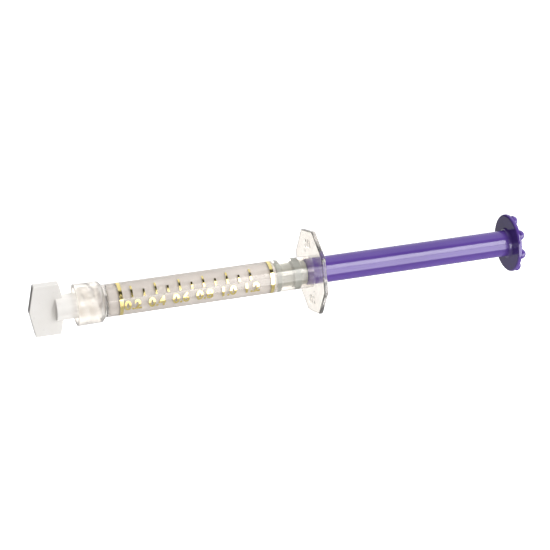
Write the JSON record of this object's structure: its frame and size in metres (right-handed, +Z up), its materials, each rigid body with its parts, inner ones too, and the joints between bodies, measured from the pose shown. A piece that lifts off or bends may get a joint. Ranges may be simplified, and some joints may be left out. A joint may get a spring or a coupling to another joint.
{
  "type": "oral syringe",
  "caption": "Prefilled oral syringe: clear Luer-lock barrel with octagonal finger flange, screw-on tip cap with flat grip tab, and a round plunger rod with a bumped thumb pad.",
  "frame": {"origin": "on the syringe's axis, at the mouth of the Luer-lock collar", "axes": "+X runs along the axis from the tip to the thumb pad; +Z is up, square to the finger flange's lower flat; the syringe lies along X"},
  "size_m": [0.123, 0.02, 0.02],
  "materials": {
    "clear_plastic": "clear, glossy, moulded",
    "cap_plastic": "translucent natural plastic, satin gloss",
    "purple_plastic": "glossy, moulded",
    "silicone": "translucent, wet with silicone oil",
    "putty": "opaque pale paste",
    "gold_foil": "hot-stamped foil, mirror bright"
  },
  "bodies": {
    "barrel": {"barrel": "clear_plastic", "putty": "putty", "foil_band_front": "gold_foil", "foil_band_rear": "gold_foil", "foil_scale": "gold_foil"},
    "cap": {"tip_cap": "cap_plastic"},
    "stopper": {"stopper": "silicone"},
    "plunger": {"plunger": "purple_plastic"}
  },
  "joints": [
    {"name": "plunger_slide", "type": "slide", "parent": "barrel", "child": "stopper", "axis": [-1, 0, 0], "range_m": [0, 0.0409], "deforming": ["putty"]},
    {"name": "plunger_twist", "type": "hinge", "parent": "stopper", "child": "plunger", "pos_m": [0.0562, 0, 0], "axis": [1, 0, 0], "continuous": true},
    {"name": "cap_slide", "type": "slide", "parent": "barrel", "child": "cap", "axis": [-1, 0, 0], "range_m": [0, 0.012]}
  ]
}
